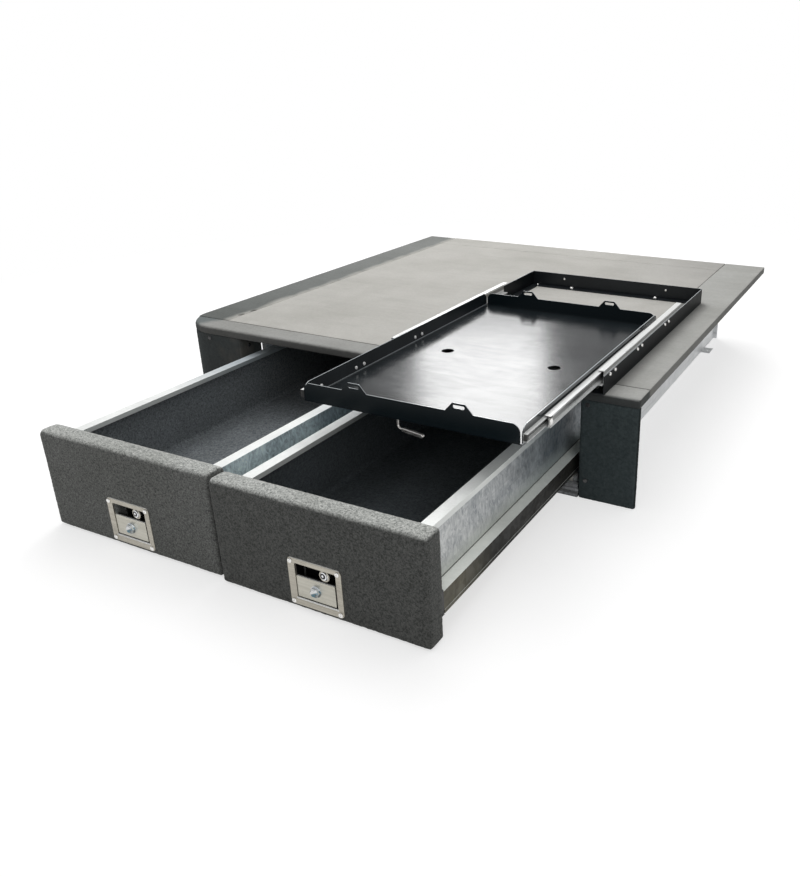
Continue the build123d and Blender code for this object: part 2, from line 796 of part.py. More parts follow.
# Telescopic slides, mirrored about the fridge slide's centre line
slide_z = height + slide_lift
ball_gap = 2.6
ball_r = 1
cage_t = 0.8
cage_w = 9
cage_l = 405
cage_window_l = 36
cage_window_share = 0.6
ball_count = 9
member_w = 15.5
member_step = 5
member_web = 5
inner_w = 10
inner_slot_inset = 50
inner_slot_l = 14
inner_slot_h = 6
stop_l = 12
slide_inset = 1
cage_inset = 5
middle_spare = 30
inner_spare = 225
fixed_half = slide_h / 2
middle_half = fixed_half - slide_t - ball_gap
inner_half = middle_half - slide_t - ball_gap
wall_x = frame_width / 2 - frame_t
tray_x = wall_x - tray_side_gap
slide_front = front - frame_overhang + slide_inset
fixed_y = (slide_front, slide_front + slide_length)
middle_y = (slide_front - middle_out, slide_front - middle_out + slide_length)
inner_y = (middle_y[0] - inner_out, middle_y[0] - inner_out + slide_length)


def channel(s, web, tip, half, y, thickness=slide_t):
    """Slide member on side s of the centre line, with its arms reaching to tip."""
    corners = ((tip, half), (web, half), (web, -half), (tip, -half))
    outline = [(fridge_x + s * a, slide_z + b) for a, b in corners]
    inward = s * (web - tip) > 0
    fold_y(outline, thickness, y, Side.RIGHT if inward else Side.LEFT)


def cage(s, outer, half, y):
    """Ball cage that wraps a member's outer side, with its row of balls above and below."""
    mid = half + ball_gap / 2
    channel(s, outer, outer - cage_w, mid + cage_t / 2, y, cage_t)
    pitch = (y[1] - y[0]) / ball_count
    rows = [y[0] + pitch * (i + 0.5) for i in range(ball_count)]
    x = fridge_x + s * (outer - cage_w + ball_r)
    with Locations(*[(x, row, slide_z + v * mid) for row in rows for v in (-1, 1)]):
        Sphere(ball_r)
    for row in rows:
        slab((fridge_x + s * (outer - cage_t - seat_gap), fridge_x + s * (outer + seat_gap)),
             (row - cage_window_l / 2, row + cage_window_l / 2),
             (slide_z - half * cage_window_share, slide_z + half * cage_window_share), Mode.SUBTRACT)


with BuildPart() as fixed_slides:
    for s in (-1, 1):
        channel(s, wall_x, wall_x - member_w, fixed_half, fixed_y)
        x = (fridge_x + s * wall_x, fridge_x + s * (wall_x - member_w))
        low = slide_z - fixed_half
        slab(x, (fixed_y[0] - stop_l, fixed_y[0]), (low, low + slide_t))
save(fixed_slides, "fixed_slides")

middle_outer = wall_x - slide_t - member_step
with BuildPart() as middle_slides:
    for s in (-1, 1):
        channel(s, middle_outer - member_web, middle_outer - member_w, middle_half, middle_y)
        for v in (-1, 1):
            slab((fridge_x + s * (middle_outer - member_web), fridge_x + s * middle_outer), middle_y,
                 (slide_z + v * middle_half, slide_z + v * (middle_half - slide_t)))
save(middle_slides, "middle_slides")

with BuildPart() as inner_slides:
    for s in (-1, 1):
        channel(s, tray_x, tray_x + inner_w, inner_half, inner_y)
        web = (fridge_x + s * (tray_x - seat_gap), fridge_x + s * (tray_x + slide_t + seat_gap))
        slot_mid = inner_y[0] + inner_slot_inset
        slab(web, (slot_mid - inner_slot_l / 2, slot_mid + inner_slot_l / 2),
             (slide_z - inner_slot_h / 2, slide_z + inner_slot_h / 2), Mode.SUBTRACT)
save(inner_slides, "inner_slides")

outer_cage_start = slide_front + cage_inset + middle_spare / 2
outer_cage_y = (outer_cage_start, outer_cage_start + cage_l)
with BuildPart() as outer_ball_cages:
    for s in (-1, 1):
        cage(s, middle_outer + seat_gap + cage_t, middle_half, outer_cage_y)
save(outer_ball_cages, "outer_ball_cages")

inner_cage_start = middle_y[0] + cage_inset + inner_spare / 2
inner_cage_y = (inner_cage_start, inner_cage_start + cage_l)
with BuildPart() as inner_ball_cages:
    for s in (-1, 1):
        cage(s, tray_x + inner_w + seat_gap + cage_t, inner_half, inner_cage_y)
save(inner_ball_cages, "inner_ball_cages")

# Bolts and rivets of the frame
bolt_r = 5
bolt_h = 4
bolt_drop = 6
bolt_z = height + frame_wall - bolt_drop
bolt_shares = (0.042, 0.081, 0.27, 0.309, 0.538, 0.577)
flange_bolt_r = 7.5
flange_bolt_h = 6
flange_bolt_x = 150
flange_bolt_inset = 12.5
rivet_x = 182
rivet_r = 4
rivet_h = 2.5
rivet_drop = 18
rivet_z = height + frame_wall - rivet_drop
with BuildPart() as frame_bolts:
    for x, way in ((fx[0], "left"), (fx[1], "right")):
        domes([(x, fy[0] + frame_length * a, bolt_z) for a in bolt_shares], way, bolt_r, bolt_h)
    y = fy[1] - flange_bolt_inset
    z = height + flange_t
    corner_x = frame_width / 2 - frame_flange + bolt_r
    domes([(fridge_x + s * corner_x, y, z) for s in (-1, 1)], "up", bolt_r, bolt_h)
    domes([(fridge_x + s * flange_bolt_x, y, z) for s in (-1, 1)], "up", flange_bolt_r, flange_bolt_h)
    places = [(fridge_x + s * rivet_x, fy[1] - frame_t, rivet_z) for s in (-1, 1)]
    domes(places, "front", rivet_r, rivet_h)
save(frame_bolts, "frame_bolts")

# Fridge tray, one folded sheet with tabbed lips and relieved corners
tray_t = 2
front_lip = 44
rear_lip = 38
side_lip = 39
lip_round = 20
side_round = 22
tab_inset = 143.5
tab_base = 66
tab_tip = 30
tab_h = 20
tab_round = 5
slot_l = 28
slot_w = 7
slot_drop = 8
drain_inset = 122
drain_r = 16.5
drain_y = 439
tray_nose = 5
tab_x = tray_x - tab_inset
drain_x = tray_x - drain_inset
tray_y = (inner_y[0] - tray_nose, inner_y[0] - tray_nose + fridge_tray_length)
tray_z = height + fridge_tray_lift


def tray_lip(y, high):
    """Lip across the tray with rounded ends, two tabs and a strap slot in each."""
    half = tray_x - 2 * tray_t
    with BuildSketch(Plane.XZ.offset(-y - tray_t)) as lip:
        with BuildLine():
            Polyline(
                (fridge_x - half, tray_z),
                (fridge_x - half, tray_z + high),
                (fridge_x + half, tray_z + high),
                (fridge_x + half, tray_z),
                close=True,
            )
        make_face()
        fillet(lip.vertices().group_by(Axis.Y)[-1], lip_round)
        for s in (-1, 1):
            x = fridge_x + s * tab_x
            with BuildLine():
                Polyline(
                    (x - tab_base / 2, tray_z + high),
                    (x - tab_tip / 2, tray_z + high + tab_h),
                    (x + tab_tip / 2, tray_z + high + tab_h),
                    (x + tab_base / 2, tray_z + high),
                    close=True,
                )
            make_face()
        fillet(lip.vertices().group_by(Axis.Y)[-1], tab_round)
        with Locations(*[(fridge_x + s * tab_x, tray_z + high + tab_h - slot_drop) for s in (-1, 1)]):
            SlotOverall(slot_l, slot_w, mode=Mode.SUBTRACT)
    extrude(lip.sketch, amount=tray_t)


with BuildPart() as fridge_tray:
    slab((fridge_x - tray_x, fridge_x + tray_x), tray_y, (tray_z, tray_z + tray_t))
    fillet(edges().filter_by(Axis.Z), 2 * tray_t)
    for s in (-1, 1):
        x = fridge_x + s * tray_x
        with BuildSketch(Plane.YZ.offset(x if s < 0 else x - tray_t)) as wall:
            with BuildLine():
                Polyline(
                    (tray_y[0] + 2 * tray_t, tray_z),
                    (tray_y[0] + 2 * tray_t, tray_z + side_lip),
                    (tray_y[1] - 2 * tray_t, tray_z + side_lip),
                    (tray_y[1] - 2 * tray_t, tray_z),
                    close=True,
                )
            make_face()
            fillet(wall.vertices().group_by(Axis.Y)[-1], side_round)
        extrude(amount=tray_t)
    tray_lip(tray_y[0], front_lip)
    tray_lip(tray_y[1] - tray_t, rear_lip)
    with Locations(*[(fridge_x + s * drain_x, tray_y[0] + drain_y, tray_z + tray_t) for s in (-1, 1)]):
        Hole(drain_r, depth=tray_t + overrun)
save(fridge_tray, "fridge_tray")

# Bolts inside the tray's side walls
tray_bolt_shares = (0.072, 0.224, 0.261, 0.527, 0.566)
tray_bolt_r = 4.5
tray_bolt_h = 2.5
with BuildPart() as tray_bolts:
    for s, way in ((-1, "right"), (1, "left")):
        x = fridge_x + s * (tray_x - tray_t)
        places = [(x, tray_y[0] + fridge_tray_length * a, slide_z) for a in tray_bolt_shares]
        domes(places, way, tray_bolt_r, tray_bolt_h)
save(tray_bolts, "tray_bolts")

# Release lever, a bent rod that turns under the tray's floor and ends in a thick handle
lever_shift = 23
lever_y = 4.5
lever_reach = 75
lever_turn = 12
lever_drop = 21
lever_rod = 2.5
lever_bend = 8
handle_start = 12
handle_w = 9
handle_t = 8
handle_round = 1.4
lever_z = tray_z - lever_drop
along = Vector(1, 0, 0).rotate(Axis.Z, -lever_turn)
across = Vector(0, -1, 0).rotate(Axis.Z, -lever_turn)
lever_origin = (fridge_x - lever_shift, tray_y[0] + lever_y, 0)
lever_plane = Plane(origin=lever_origin, x_dir=along, z_dir=across)
with BuildPart() as release_lever:
    with BuildLine(lever_plane) as lever_path:
        FilletPolyline(
            (0, tray_z - seat_gap),
            (0, lever_z),
            (handle_start + handle_w, lever_z),
            radius=lever_bend,
        )
    with BuildSketch(Plane(origin=lever_path.line @ 0, z_dir=lever_path.line % 0)):
        Circle(lever_rod)
    sweep()
    with BuildSketch(lever_plane.offset(-handle_t / 2)):
        with Locations(((handle_start + lever_reach) / 2, lever_z)):
            SlotOverall(lever_reach - handle_start, handle_w)
    extrude(amount=handle_t)
    fillet(faces().filter_by(lever_plane).edges(), handle_round)
save(release_lever, "release_lever")
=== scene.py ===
import bpy
import bmesh
import math
from mathutils import Matrix, Vector, noise

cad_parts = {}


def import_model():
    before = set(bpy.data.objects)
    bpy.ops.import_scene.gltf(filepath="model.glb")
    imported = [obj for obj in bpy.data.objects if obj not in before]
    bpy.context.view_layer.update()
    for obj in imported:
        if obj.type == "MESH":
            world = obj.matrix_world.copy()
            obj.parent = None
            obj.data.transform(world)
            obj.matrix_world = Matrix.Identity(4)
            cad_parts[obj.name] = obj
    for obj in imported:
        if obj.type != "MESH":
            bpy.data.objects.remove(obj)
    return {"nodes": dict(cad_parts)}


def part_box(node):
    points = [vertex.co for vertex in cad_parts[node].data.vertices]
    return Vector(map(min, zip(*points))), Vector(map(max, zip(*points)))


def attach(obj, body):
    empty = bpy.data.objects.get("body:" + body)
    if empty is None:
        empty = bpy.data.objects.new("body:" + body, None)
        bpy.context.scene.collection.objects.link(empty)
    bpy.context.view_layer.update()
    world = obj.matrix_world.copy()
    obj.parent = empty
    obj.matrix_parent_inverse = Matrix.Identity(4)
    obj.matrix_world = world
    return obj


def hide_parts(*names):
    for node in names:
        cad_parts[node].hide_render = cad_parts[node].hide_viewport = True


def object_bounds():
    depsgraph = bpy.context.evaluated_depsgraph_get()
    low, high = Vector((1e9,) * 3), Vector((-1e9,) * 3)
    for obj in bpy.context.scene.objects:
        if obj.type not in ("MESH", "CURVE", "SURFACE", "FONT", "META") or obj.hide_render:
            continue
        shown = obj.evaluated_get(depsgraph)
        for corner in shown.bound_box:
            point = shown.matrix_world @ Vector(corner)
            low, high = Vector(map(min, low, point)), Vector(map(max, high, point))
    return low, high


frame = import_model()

cad_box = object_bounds()
scene = bpy.context.scene
scene.view_settings.view_transform = "Standard"

# All lengths and places are in metres: X to the right, Y to the back, Z up.
MM_PER_M = 1000.0
# Sockets of a Mix node that blends colours
MIX_SHARE, MIX_A, MIX_B, MIX_OUT = 0, 6, 7, 2
# Parts of a normal between which a face starts to look up: a flange's top, and a sheet's thin upper edge
TOP_FACE = (0.6, 0.9)
RIM_FACE = (0.5, 0.8)
# Lines per metre along each axis for metal that is drawn along Y, drawn along X, or not drawn at all
DRAWN_Y = (260.0, 5.0, 260.0)
DRAWN_X = (5.0, 300.0, 300.0)
UNDRAWN = (90.0, 90.0, 90.0)
CHROME = {"rough": (0.08, 0.16), "drawn": (60.0, 60.0, 60.0)}


# Materials

def scaled(colour, factor):
    return tuple(c * factor for c in colour)


class Surface:
    """Node material: a Principled shader fed by textures in the object's own coordinates. A share is a
    value between none and one."""

    def __init__(self, name, **settings):
        self.material = bpy.data.materials.new(name)
        self.material.use_nodes = True
        self.tree = self.material.node_tree
        self.shader = self.tree.nodes["Principled BSDF"]
        self.place = self.add("TexCoord").outputs["Object"]
        for word, value in settings.items():
            socket = word.replace("_", " ").title().replace("Ior", "IOR")
            self.shader.inputs[socket].default_value = value

    def add(self, kind, **values):
        node = self.tree.nodes.new("ShaderNode" + kind)
        for word, value in values.items():
            setattr(node, word, value)
        return node

    def wire(self, output, socket):
        self.tree.links.new(output, socket)

    def feed(self, socket, value):
        """Sets a number or a colour, or links an output."""
        if isinstance(value, (int, float)):
            socket.default_value = value
        elif isinstance(value, tuple):
            socket.default_value = (*value, 1.0)
        else:
            self.wire(value, socket)

    def stretched(self, x, y, z):
        node = self.add("Mapping")
        self.wire(self.place, node.inputs["Vector"])
        node.inputs["Scale"].default_value = (x, y, z)
        return node.outputs["Vector"]

    def noise(self, scale, detail=2.0, rough=0.5, where=None, warp=0.0):
        node = self.add("TexNoise")
        self.wire(where or self.place, node.inputs["Vector"])
        node.inputs["Scale"].default_value = scale
        node.inputs["Detail"].default_value = detail
        node.inputs["Roughness"].default_value = rough
        node.inputs["Distortion"].default_value = warp
        return node.outputs["Fac"]

    def cells(self, scale, output="Color"):
        node = self.add("TexVoronoi", feature="F1")
        self.wire(self.place, node.inputs["Vector"])
        node.inputs["Scale"].default_value = scale
        return node.outputs[output]

    def math(self, operation, a, b=0.0):
        node = self.add("Math", operation=operation)
        self.feed(node.inputs[0], a)
        self.feed(node.inputs[1], b)
        return node.outputs["Value"]

    def both(self, *shares):
        """Product of the shares."""
        result = shares[0]
        for share in shares[1:]:
            result = self.math("MULTIPLY", result, share)
        return result

    def unless(self, share):
        """One where the share is none."""
        return self.math("SUBTRACT", 1.0, share)

    def weighted(self, *pairs):
        """Sum of the values, each times its weight."""
        terms = [self.math("MULTIPLY", value, weight) for value, weight in pairs]
        result = terms[0]
        for term in terms[1:]:
            result = self.math("ADD", result, term)
        return result

    def span(self, value, low, high, to_low=0.0, to_high=1.0):
        """Maps low..high to to_low..to_high and holds it there outside."""
        node = self.add("MapRange")
        self.wire(value, node.inputs["Value"])
        for word, number in (("From Min", low), ("From Max", high), ("To Min", to_low), ("To Max", to_high)):
            node.inputs[word].default_value = number
        return node.outputs["Result"]

    def part(self, vector, axis):
        node = self.add("SeparateXYZ")
        self.wire(vector, node.inputs["Vector"])
        return node.outputs[axis]

    def along(self, axis):
        """The position along an axis of the object."""
        return self.part(self.place, axis)

    def off(self, axis, origin):
        """The signed distance along an axis from a position."""
        return self.math("SUBTRACT", self.along(axis), origin)

    def at(self, axis, low, high, to_low=0.0, to_high=1.0):
        """Rises between two positions along an axis of the object."""
        return self.span(self.along(axis), low, high, to_low, to_high)

    def ragged(self, position, scale, reach):
        """The position, moved to and fro by up to the reach."""
        return self.math("ADD", position, self.span(self.noise(scale, 3, 0.6), 0.3, 0.7, -reach, reach))

    def facing(self, axis, low=0.5, high=0.85):
        """One where the surface faces along the axis."""
        return self.span(self.part(self.add("TexCoord").outputs["Normal"], axis), low, high)

    def upward(self, low=0.35, high=0.85):
        """One where the surface faces up."""
        return self.facing("Z", low, high)

    def times(self, base, share, factor):
        """Multiplies a colour by the factor where the share is one."""
        return self.mix(share, base, (factor,) * 3 if isinstance(factor, float) else factor, "MULTIPLY")

    def ramp(self, value, *stops):
        node = self.add("ValToRGB")
        self.wire(value, node.inputs["Fac"])
        band = node.color_ramp
        while len(band.elements) < len(stops):
            band.elements.new(0.5)
        for element, (at, colour) in zip(band.elements, stops):
            element.position = at
            element.color = (*colour, 1.0)
        return node.outputs["Color"]

    def mix(self, share, a, b, blend="MIX"):
        node = self.add("Mix", data_type="RGBA", blend_type=blend)
        for index, value in ((MIX_SHARE, share), (MIX_A, a), (MIX_B, b)):
            self.feed(node.inputs[index], value)
        return node.outputs[MIX_OUT]

    def paint_top_highlight(self, base, tone, top, dim, full, metallic, top_metallic):
        """Paints a highlight on the faces that look up: a lighter colour of their own, dimmed where the tone is
        low, and less metal.
        """
        self.drive("Metallic", self.upward(*TOP_FACE), metallic, top_metallic)
        shade = self.ramp(tone, (0.3, scaled(top, dim)), (full, top))
        return self.mix(self.upward(*TOP_FACE), base, shade)

    def colour(self, output):
        self.wire(output, self.shader.inputs["Base Color"])
        return self

    def base(self):
        """The output that colours the shader so far."""
        return self.shader.inputs["Base Color"].links[0].from_socket

    def drive(self, socket, share, at_none, at_one):
        """Moves a shader input between two values with the share."""
        self.wire(self.span(share, 0.0, 1.0, at_none, at_one), self.shader.inputs[socket])

    def rough(self, value, low, high):
        self.wire(self.span(value, 0.25, 0.75, low, high), self.shader.inputs["Roughness"])

    def bump(self, height, distance, strength):
        node = self.add("Bump")
        self.wire(height, node.inputs["Height"])
        node.inputs["Distance"].default_value = distance
        node.inputs["Strength"].default_value = strength
        old = self.shader.inputs["Normal"].links
        if old:
            self.wire(old[0].from_socket, node.inputs["Normal"])
        self.wire(node.outputs["Normal"], self.shader.inputs["Normal"])
        return self


def carpet(name, dark, light, fleck, tuft_size=9.0, patch=6.0, contrast=0.35, side=1.0, streak=0.0,
           recolour=None, fibre_size=1.2, fibre_share=0.4, lump=0.0012):
    """Needle-felt carpet: fibres of two shades, tufts of a few millimetres, broad worn patches and faint
    streaks. Its sides carry painted shade: they are darker by a factor than its top. The sizes of fibres and
    tufts are in millimetres."""
    fleck_density, fleck_core, fleck_rim, fleck_share = 420, 0.05, 0.16, 0.5
    worn = (0.86, 0.86, 0.85)
    s = Surface(name, roughness=0.95, sheen_weight=0.2, sheen_roughness=0.5, specular_ior_level=0.15)
    s.shader.inputs["Sheen Tint"].default_value = (*light, 1.0)
    fibre = s.noise(MM_PER_M / fibre_size, 3, 0.65)
    tuft = s.noise(MM_PER_M / tuft_size, 4, 0.62, warp=0.5)
    wide = s.noise(patch, 4, 0.6, warp=0.3)
    blend = s.weighted((fibre, fibre_share), (tuft, 1.0 - fibre_share))
    middle = tuple((a + b) / 2 for a, b in zip(dark, light))
    base = s.ramp(blend, (0.5 - contrast / 2, dark), (0.5, middle), (0.5 + contrast / 2, light))
    spot = s.span(s.cells(fleck_density, "Distance"), fleck_core, fleck_rim, fleck_share, 0.0)
    base = s.mix(spot, base, fleck)
    base = s.times(base, s.span(wide, 0.38, 0.68), worn)
    if streak:
        line = s.noise(1.0, 3, 0.6, where=s.stretched(5.0, 34.0, 5.0), warp=0.4)
        base = s.times(base, s.span(line, 0.45, 0.7), 1.0 - streak)
    if recolour:
        base = recolour(s, base)
    # Painted shade: the faces that do not look up are darkened by the side factor.
    if side < 1.0:
        base = s.times(base, s.unless(s.upward()), side)
    s.colour(base)
    s.bump(tuft, lump, 0.7)
    return s.bump(fibre, 0.0006, 0.6)


def sheet_metal(name, dark, light, top, metallic, crystals, rough=(0.28, 0.5), spangle=55.0, recolour=None,
                finish=None, spread=(0.32, 0.66), curl=(30.0, 30.0, 9.0), warp=1.4, shine=0.5):
    """Galvanised sheet: zinc crystals of differing tone, faint streaks and handling dirt. The flanges that
    face up get a painted highlight in their own colour and are duller."""
    cloud_weight = 0.40
    wisp_weight = 0.60 - crystals
    streak_factor = 0.72
    s = Surface(name, metallic=metallic, specular_ior_level=shine)
    crystal = s.add("SeparateColor")
    s.wire(s.cells(spangle), crystal.inputs["Color"])
    cloud = s.noise(9, 5, 0.6)
    streak = s.noise(30, 3, 0.6, where=s.stretched(1.0, 0.12, 3.0))
    wisp = s.noise(1.0, 5, 0.7, where=s.stretched(*curl), warp=warp)
    tone = s.weighted((crystal.outputs["Red"], crystals), (cloud, cloud_weight), (wisp, wisp_weight))
    base = s.ramp(tone, (spread[0], dark), (spread[1], light))
    base = s.times(base, s.span(streak, 0.55, 0.8), streak_factor)
    if recolour:
        base = recolour(s, base)
    # Painted highlight: the faces that look up take the top colour.
    base = s.paint_top_highlight(base, tone, top, dim=0.86, full=0.6, metallic=metallic, top_metallic=0.1)
    if finish:
        base = finish(s, base)
    s.colour(base)
    s.rough(s.weighted((crystal.outputs["Green"], 0.5), (cloud, 0.5)), *rough)
    s.bump(cloud, 0.0008, 0.25)
    return s.bump(s.noise(700, 2), 0.00008, 0.4)


def brushed(name, dark, light, rough=(0.22, 0.38), drawn=UNDRAWN, metallic=1.0, top=None, finish=None):
    """Brushed or drawn metal with fine lines along one axis and soft smudges. Its faces that look up can
    have a painted highlight in their own colour."""
    smudge_factor, smudge_share = 0.7, 0.4
    s = Surface(name, metallic=metallic)
    line = s.noise(1.0, 4, 0.7, where=s.stretched(*drawn))
    smudge = s.noise(22, 4, 0.55, warp=0.4)
    base = s.ramp(line, (0.3, dark), (0.7, light))
    base = s.mix(s.span(smudge, 0.5, 0.75, 0.0, smudge_share), base, scaled(dark, smudge_factor))
    # Painted highlight on the faces that look up.
    if top:
        base = s.paint_top_highlight(base, line, top, dim=0.92, full=0.7, metallic=metallic, top_metallic=0.25)
    if finish:
        base = finish(s, base)
    s.colour(base)
    s.rough(s.weighted((line, 0.5), (smudge, 0.5)), *rough)
    return s.bump(line, 0.00006, 0.5)


def coated(name, dark, light, rough=(0.3, 0.42), grain=900.0, shine=0.5, rim=None):
    """Powder coat: fine orange peel, a little dust and tone drift. With a height in rim, the sheet's upper
    edges above it get a painted highlight, and the faces that look to the right get painted shade
    and are duller."""
    painted_highlight = (0.50, 0.53, 0.55)
    dusty, dust_share = tuple(min(1.0, c * 2.4 + 0.02) for c in light), 0.25
    side_shade, side_shine = 0.55, shine * 0.2
    s = Surface(name, specular_ior_level=shine)
    peel = s.noise(grain, 2, 0.5)
    drift = s.noise(7, 4, 0.6)
    dust = s.noise(60, 5, 0.7, warp=0.5)
    base = s.ramp(drift, (0.3, dark), (0.7, light))
    base = s.mix(s.span(dust, 0.62, 0.85, 0.0, dust_share), base, dusty)
    if rim:
        # Painted highlight on the upper edges above the rim, varied by the dust.
        edge = s.both(s.upward(*RIM_FACE), s.at("Z", rim, rim + 0.002), s.span(dust, 0.3, 0.6, 0.65, 1.0))
        base = s.mix(edge, base, painted_highlight)
        s.drive("Specular IOR Level", s.facing("X"), shine, side_shine)
        # Painted shade on the faces that look to the right.
        base = s.times(base, s.facing("X"), side_shade)
    s.colour(base)
    s.rough(drift, *rough)
    return s.bump(peel, 0.00012, 0.6)


def deck_tone(s, base):
    """The deck is greyer towards its right rear."""
    greyer = (0.71, 0.71, 0.72)
    return s.times(base, s.both(s.at("X", 0.1, 0.6), s.at("Y", 0.1, 0.7)), greyer)


def left_tone(s, base):
    """The left strip is bluer and darker than the deck, lighter towards its rear and along the seam, and
    has painted shade where its top is sunk."""
    bluish, sunk, seam_tone = (0.62, 0.64, 0.64), 0.25, (0.44, 0.43, 0.40)
    base = s.times(base, s.at("Y", -0.7, 0.5, 1.0, 0.0), bluish)
    # Painted shade on the sunk part of the top.
    recess = s.both(s.upward(), s.at("Z", 0.2950, 0.2940), s.at("X", -0.72, -0.70))
    base = s.times(base, recess, sunk)
    seam = s.span(s.ragged(s.along("X"), 14, 0.009), -0.686, -0.658, 0.0, 0.85)
    return s.mix(seam, base, seam_tone)


def nose_tone(s, base):
    """A bluish dark area lies on the nose's left end, with a slanted edge. The nose gets painted light
    towards the right, where the tray shades it, and painted shade on its front at the right end."""
    bluish, painted_light, shaded = (0.46, 0.52, 0.54), 1.2, (0.45, 0.48, 0.50)
    slant = s.math("SUBTRACT", s.along("X"), s.at("Y", -0.75, -0.675, -0.0375, 0.0))
    base = s.times(base, s.span(s.ragged(slant, 30, 0.008), -0.700, -0.665, 1.0, 0.0), bluish)
    # Painted light towards the right, against the tray's shadow.
    base = s.times(base, s.at("X", -0.1, 0.3), painted_light)
    # Painted shade on the front at the right end.
    return s.times(base, s.both(s.at("X", 0.42, 0.54), s.unless(s.upward())), shaded)


def right_tone(s, base):
    """The right strip lies in shade close beside the fridge frame."""
    shaded = 0.55
    return s.times(base, s.both(s.at("X", 0.650, 0.614), s.at("Y", 0.16, 0.12)), shaded)


def infill_tone(s, base):
    """The left infill is more neutral than the right one, with faint brownish worn patches in its middle.
    Of the faces that look to the right, the left infill's are lighter with painted light and the right
    one's darker with painted shade."""
    neutral, brownish = (0.052, 0.050, 0.048), (0.110, 0.098, 0.086)
    painted_light, darker = (1.7, 1.65, 1.6), 0.3
    left = s.at("X", 0.0, -0.5)
    base = s.mix(s.both(left, 0.55), base, neutral)
    patch = s.both(s.span(s.noise(13, 3, 0.55, warp=0.3), 0.44, 0.66), s.at("X", -0.70, -0.60))
    base = s.mix(s.both(patch, left, 0.5), base, brownish)
    # Painted light on the left infill's faces that look to the right.
    base = s.times(base, s.both(s.facing("X"), left), painted_light)
    # Painted shade on the right infill's faces that look to the right.
    return s.times(base, s.both(s.facing("X"), s.at("X", 0.0, 0.5)), darker)


def wall_tone(s, base):
    """A drawer's outer walls are palest just above the runners, where dirt lies in the fold, and have
    painted shade towards the housing. The two walls in the middle look bluish. The turned-down lips along
    the top are pale."""
    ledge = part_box("right_runners")[1].z
    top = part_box("right_drawer_sides")[1].z
    darker, far_painted_shade, bluish = (0.66, 0.69, 0.72), (0.55, 0.60, 0.64), (1.35, 1.55, 1.62)
    pale_foot, pale_lip, dirt = (0.66, 0.68, 0.64), (0.78, 0.80, 0.78), (0.06, 0.065, 0.06)
    # Painted shade towards the housing.
    base = s.times(base, s.at("Y", -1.35, -0.80), darker)
    middle = s.both(s.at("X", -0.062, -0.050), s.at("X", 0.0, -0.012))
    base = s.times(base, middle, bluish)
    base = s.mix(s.at("Z", ledge, ledge + 0.045, 0.8, 0.0), base, pale_foot)
    lip = s.both(s.at("Z", top - 0.0145, top - 0.0125), s.unless(middle))
    base = s.mix(lip, base, pale_lip)
    # More painted shade close to the housing.
    base = s.times(base, s.at("Y", -1.08, -0.80), far_painted_shade)
    return s.mix(s.at("Z", ledge + 0.0020, ledge + 0.0032, 1.0, 0.0), base, dirt)


def far_shade(s, base):
    """Painted shade: the drawers' flanges are dull and bluish towards the housing."""
    bluish = (0.52, 0.56, 0.60)
    return s.times(base, s.both(s.upward(*TOP_FACE), s.at("Y", -1.08, -0.84)), bluish)


def runner_tone(s, base):
    """The runners' sides are nearly black, and olive at the front end."""
    dark_behind_front = (0.12, 0.125, 0.14)
    return s.times(base, s.at("Y", -1.32, -1.18), dark_behind_front)


def groove_tone(s, base):
    """The hollows along each slide's side lie in shade, with a bright line between them."""
    low_shade, high_shade = 0.30, 0.42
    middle = sum(v.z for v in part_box("middle_slides")) / 2
    side = s.unless(s.upward())
    low = s.both(side, s.at("Z", middle - 0.0085, middle - 0.0055), s.at("Z", middle + 0.0045, middle + 0.0035))
    high = s.both(side, s.at("Z", middle + 0.0065, middle + 0.0075), s.at("Z", middle + 0.0155, middle + 0.0145))
    return s.times(s.times(base, low, low_shade), high, high_shade)


def left_liner_tone(s, base):
    """The left drawer's lining has painted shade beside its right wall."""
    shaded = 0.5
    return s.times(base, s.at("X", -0.22, -0.07), shaded)


# The side factors below, and each fascia's second number, are painted shade on the carpets' faces that do not
# look up.
fascia_carpets = {
    side: carpet(f"{side}_fascia_carpet", (0.19, 0.20, 0.19), (0.64, 0.65, 0.625), (0.10, 0.105, 0.10),
                 side=darker, tuft_size=6, contrast=0.24, fibre_size=3.0, fibre_share=0.6, lump=0.0008)
    for side, darker in (("left", 0.36), ("right", 0.225))}
deck_carpet = carpet("deck_carpet", (0.44, 0.43, 0.405), (0.54, 0.53, 0.50), (0.36, 0.35, 0.325),
                     patch=3.5, contrast=0.5, streak=0.05, side=0.5, recolour=deck_tone)
nose_carpet = carpet("nose_carpet", (0.28, 0.28, 0.27), (0.38, 0.38, 0.365), (0.2, 0.2, 0.19),
                     patch=5, contrast=0.45, side=0.35, recolour=nose_tone)
left_strip_carpet = carpet("left_strip_carpet", (0.175, 0.182, 0.176), (0.26, 0.268, 0.258),
                           (0.13, 0.135, 0.13), patch=5, contrast=0.5, streak=0.05, side=0.4,
                           recolour=left_tone)
right_strip_carpet = carpet("right_strip_carpet", (0.36, 0.36, 0.345), (0.46, 0.46, 0.44),
                            (0.28, 0.28, 0.265), patch=5, contrast=0.5, streak=0.06, side=0.5,
                            recolour=right_tone)
infill_carpet = carpet("infill_carpet", (0.030, 0.042, 0.046), (0.085, 0.105, 0.108), (0.012, 0.015, 0.016),
                       tuft_size=8, contrast=0.4, recolour=infill_tone)
